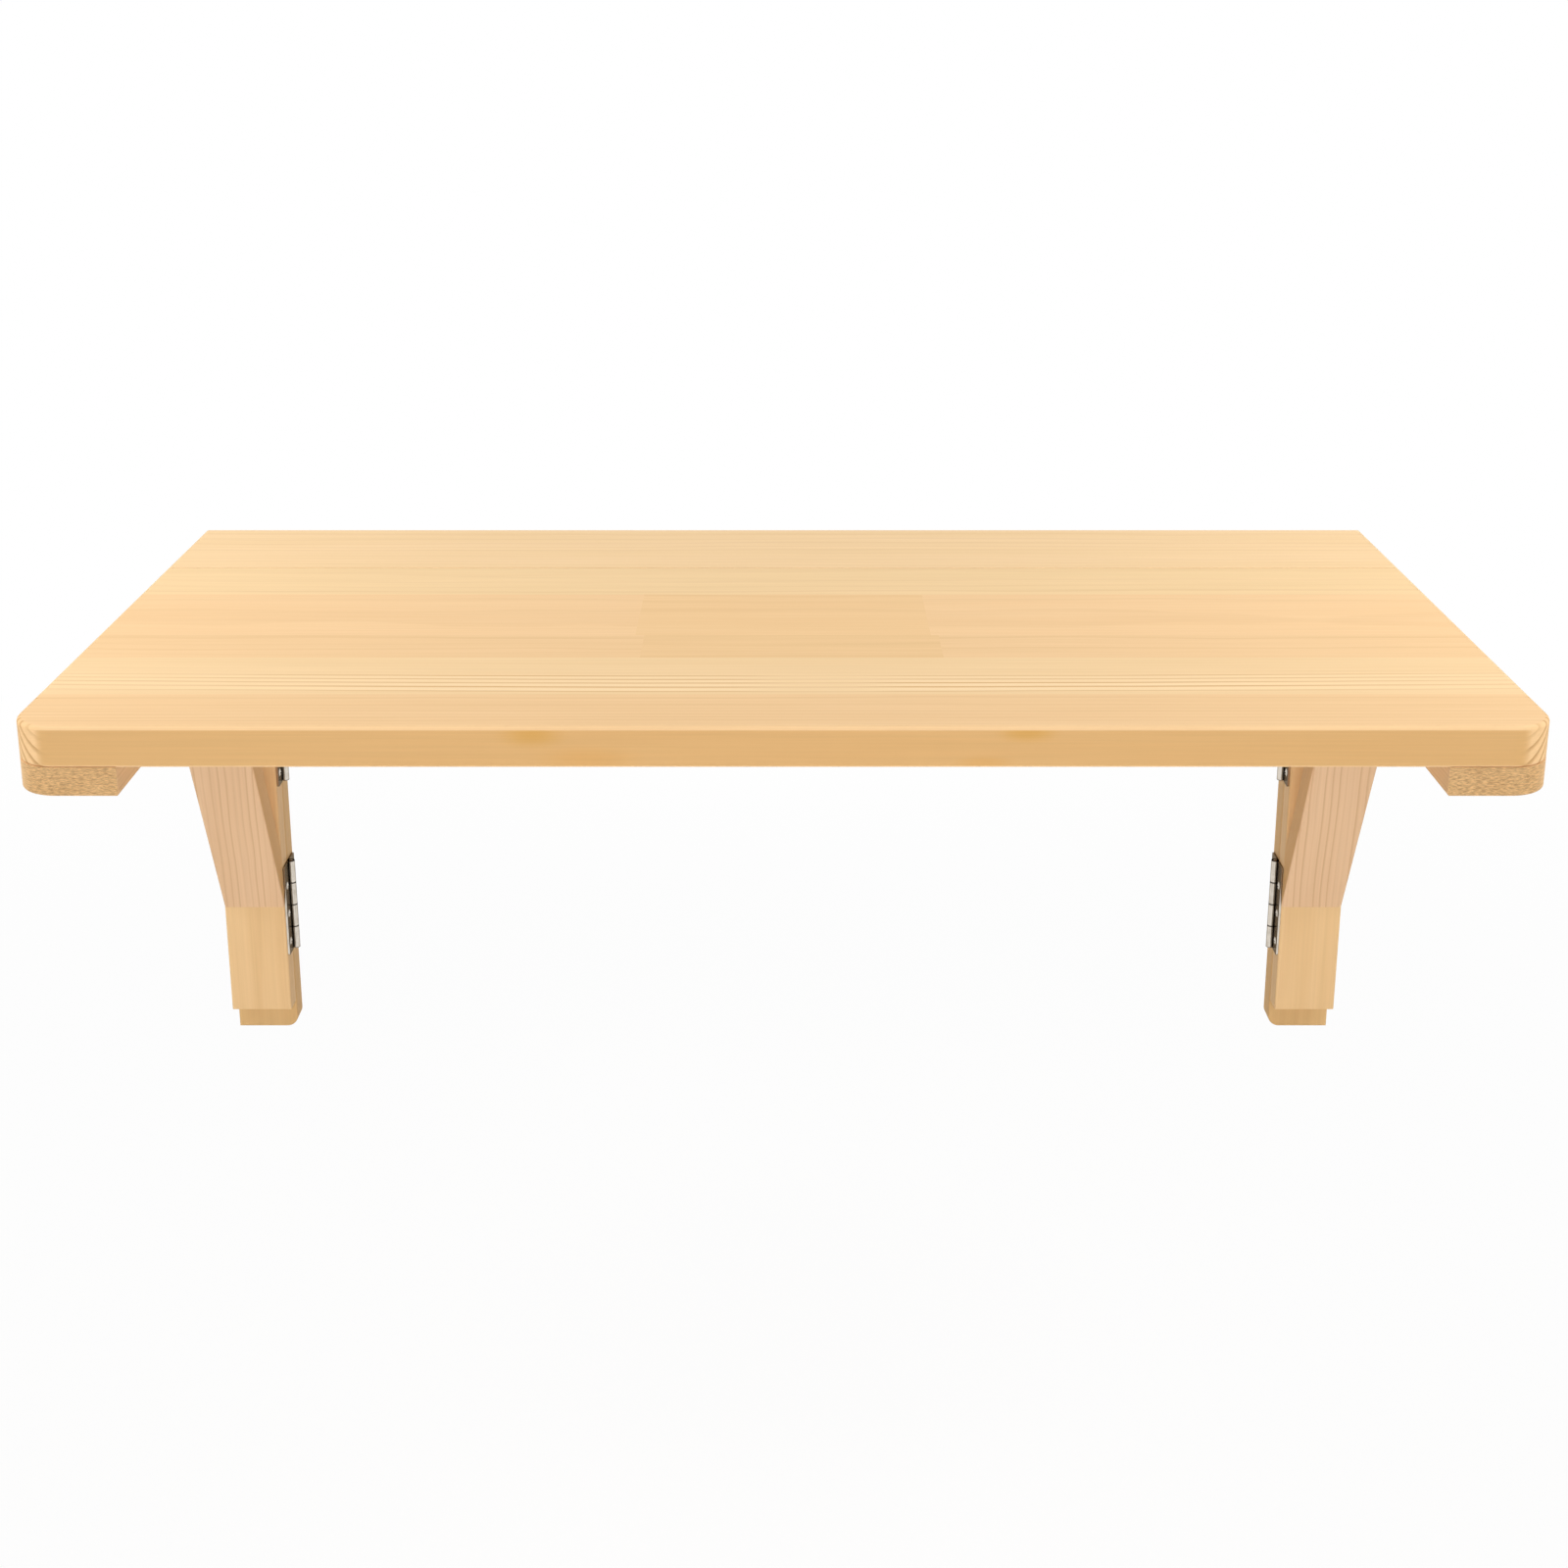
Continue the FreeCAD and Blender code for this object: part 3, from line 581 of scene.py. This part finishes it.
def hinge_nickel(name, pin, brushed):
    """Nickel plating of one hinge, with painted shade at the gaps between the knuckles on its pin."""
    material = plated(name, BRIGHT_NICKEL, worn=(196, 186, 172), rough=0.14, brushed=brushed)
    tree = material.node_tree
    base = tree.nodes["Principled BSDF"].inputs["Base Color"]
    clean = base.links[0].from_socket
    # painted shade in the gaps between the knuckles
    tree.links.new(mixed(tree, knuckle_joints(tree, pin), clean, shade(*PAINTED_SHADE)), base)
    return material


PIN_STEEL = plated("hinge_pin_steel", bright=(190, 180, 166), worn=(164, 154, 140), rough=0.2)
HINGE_SCREW = dict(head_radius=0.0033, head_sink=0.0015, crown=0.001, radius=0.0017, pitch=0.0012)
for name in ("left", "middle", "right"):
    pin = f"leaf_hinge_{name}_pin"
    nickel = hinge_nickel(f"leaf_hinge_nickel_{name}", pin, BRUSHED_ALONG_X)
    paint(f"leaf_hinge_{name}_strip_plate", nickel)
    paint(f"leaf_hinge_{name}_leaf_plate", nickel)
    paint(pin, PIN_STEEL)
fit_screws("leaf_hinge_strip_screws", "wall_frame", **HINGE_SCREW)
fit_screws("leaf_hinge_leaf_screws", "leaf", **HINGE_SCREW)

# Brackets: on each side a pine post, an arm on top of it and a brace between them, screwed together so
# that they swing as one. The brace is a pinker board with close, parallel growth lines, and its sides have
# fewer lines and a darker, more golden tint, partly the board's tone and partly painted shade.
BRACE_SLOPE = math.radians(65)
GRAIN_LEAN = math.radians(5)
BRACE_TONES = ((233, 195, 156), (228, 189, 149))
BRACE_LATE = (203, 158, 116)
# brace sides: a more golden tone, and painted shade that darkens them
BRACE_SIDES_TONE_AND_SHADE = dict(facing=(1, 0, 0), tint=(238, 225, 185))
for side, sign in SIDES.items():
    post_pine = pine(f"bracket_post_pine_{side}", BAR_TONES, BAR_LATE, pith=(sign * 0.46, 0.09, 0),
                     ring=0.007, turn=GRAIN_ALONG_Z, lines=0.15, seed=2.9 * sign)
    arm_pine = pine(f"bracket_arm_pine_{side}", BAR_TONES, BAR_LATE, pith=(sign * 0.44, 0, -0.06),
                    ring=0.005, turn=GRAIN_ALONG_Y, lines=0.3, seed=3.6 * sign)
    along_brace = (BRACE_SLOPE - QUARTER_TURN, QUARTER_TURN + sign * GRAIN_LEAN, 0)
    brace_pine = pine(f"bracket_brace_pine_{side}", BRACE_TONES, BRACE_LATE,
                      pith=(sign * 0.475, -0.075, -0.12), ring=0.005, turn=along_brace, lines=0.55,
                      onset=0.62, wander=0.009, seed=6.2 * sign, toned_shaded_faces=BRACE_SIDES_TONE_AND_SHADE)
    paint(f"bracket_post_{side}", post_pine)
    paint(f"bracket_arm_{side}", arm_pine)
    paint(f"bracket_brace_{side}", brace_pine)
    fit_screws(f"bracket_screws_{side}", f"{side}_bracket", **WOOD_SCREW)

# Bracket hinges: two butt hinges of the same kind on each side, on the faces of the posts towards the
# middle. The bracket swings on their pins.
for side in SIDES:
    for name in ("upper", "lower"):
        pin = f"bracket_hinge_{side}_{name}_pin"
        nickel = hinge_nickel(f"bracket_hinge_nickel_{side}_{name}", pin, BRUSHED_ALONG_Z)
        paint(f"bracket_hinge_{side}_{name}_wall_plate", nickel)
        paint(f"bracket_hinge_{side}_{name}_swing_plate", nickel)
        paint(pin, PIN_STEEL)
    fit_screws(f"bracket_hinge_{side}_wall_screws", "wall_frame", **HINGE_SCREW)
    fit_screws(f"bracket_hinge_{side}_swing_screws", f"{side}_bracket", **HINGE_SCREW)


# Floor and world: a plain pale floor, as far below as such a table stands above one, and white all round.
# Both are white to the eye and in reflections. The floor keeps a soft shadow near the table, and it can be
# looked through from below, so that the underside shows.
def seen_share(tree):
    """1 for what the camera sees, straight or in metal and glass, and 0 for light on the wood."""
    path = add(tree, "ShaderNodeLightPath", {})
    seen = maths(tree, "MAXIMUM", path.outputs["Is Camera Ray"], path.outputs["Is Glossy Ray"])
    return maths(tree, "MAXIMUM", seen, path.outputs["Is Transmission Ray"])


TABLE_HEIGHT = 0.75
FLOOR_SIZE = 60
FLOOR_MATT = (246, 246, 246)
FLOOR_WHITE = dict(limits=(0.5, 2.2), results=(0.92, 1.0))
AMBIENT_TO_SEEN = (0.26, 1.0)
WHITE = (1, 1, 1, 1)
bpy.ops.mesh.primitive_plane_add(size=FLOOR_SIZE, location=(0, 0, cad_high.z - TABLE_HEIGHT))
floor = bpy.context.object
floor.name = "floor"
floor_white, tree, shader = finish_named("floor_white")
tree.nodes.remove(shader)
away = vectors(tree, "LENGTH", add(tree, "ShaderNodeTexCoord", {}).outputs["Object"])
white_share = maths(tree, "MULTIPLY", seen_share(tree), ramp(tree, away, **FLOOR_WHITE))
matt = add(tree, "ShaderNodeBsdfDiffuse", {"Color": shade(*FLOOR_MATT)}).outputs[0]
white = add(tree, "ShaderNodeEmission", {"Color": WHITE, "Strength": 1.0}).outputs[0]
from_above = add(tree, "ShaderNodeMixShader", {0: white_share, 1: matt, 2: white}).outputs[0]
below = add(tree, "ShaderNodeNewGeometry", {}).outputs["Backfacing"]
clear = add(tree, "ShaderNodeBsdfTransparent", {}).outputs[0]
both = add(tree, "ShaderNodeMixShader", {0: below, 1: from_above, 2: clear}).outputs[0]
tree.links.new(both, tree.nodes["Material Output"].inputs["Surface"])
floor.data.materials.append(floor_white)
world = bpy.data.worlds.new("studio")
bpy.context.scene.world = world
world.use_nodes = True
tree = world.node_tree
background = tree.nodes["Background"]
background.inputs["Color"].default_value = WHITE
tree.links.new(ramp(tree, seen_share(tree), results=AMBIENT_TO_SEEN), background.inputs["Strength"])


# Lights: a wide soft light above each end, a softer one from the room, and a faint low one on the back.
# They light the wood at a level at which its colours come out about as they are written.
def softbox(name, place, aim, size, watts):
    """Square area light at a place, turned to a point."""
    lamp = bpy.data.lights.new(name, "AREA")
    lamp.shape = "SQUARE"
    lamp.size = size
    lamp.energy = watts
    holder = bpy.data.objects.new(name, lamp)
    holder.location = place
    holder.rotation_euler = (Vector(aim) - Vector(place)).to_track_quat("-Z", "Y").to_euler()
    bpy.context.scene.collection.objects.link(holder)


for side, sign in SIDES.items():
    softbox(f"above_{side}", place=(sign * 1.35, -0.3, 1.0), aim=(sign * 0.45, -0.25, 0), size=0.9,
            watts=16.2)
softbox("room", place=(0, -2.6, 0.3), aim=(0, -0.2, -0.1), size=1.6, watts=30.5)
softbox("behind", place=(0, 2.2, -0.35), aim=(0, 0, -0.15), size=0.6, watts=10)

# Camera: in front of the table and above it, looking down at it as in the photograph. A small shift lets
# it tilt less, so that the posts lean less.
LOOKING_DOWN = math.radians(15.52)
view = bpy.data.cameras.new("photo_view")
view.lens = 49.18
view.sensor_width = 36
view.shift_x = 0.0006
view.shift_y = -0.14
camera = bpy.data.objects.new("photo_view", view)
camera.location = (0, -1.6154, 0.4759)
camera.rotation_euler = (QUARTER_TURN - LOOKING_DOWN, 0, 0)
bpy.context.scene.collection.objects.link(camera)
bpy.context.scene.camera = camera
bpy.context.scene.view_settings.view_transform = "Standard"
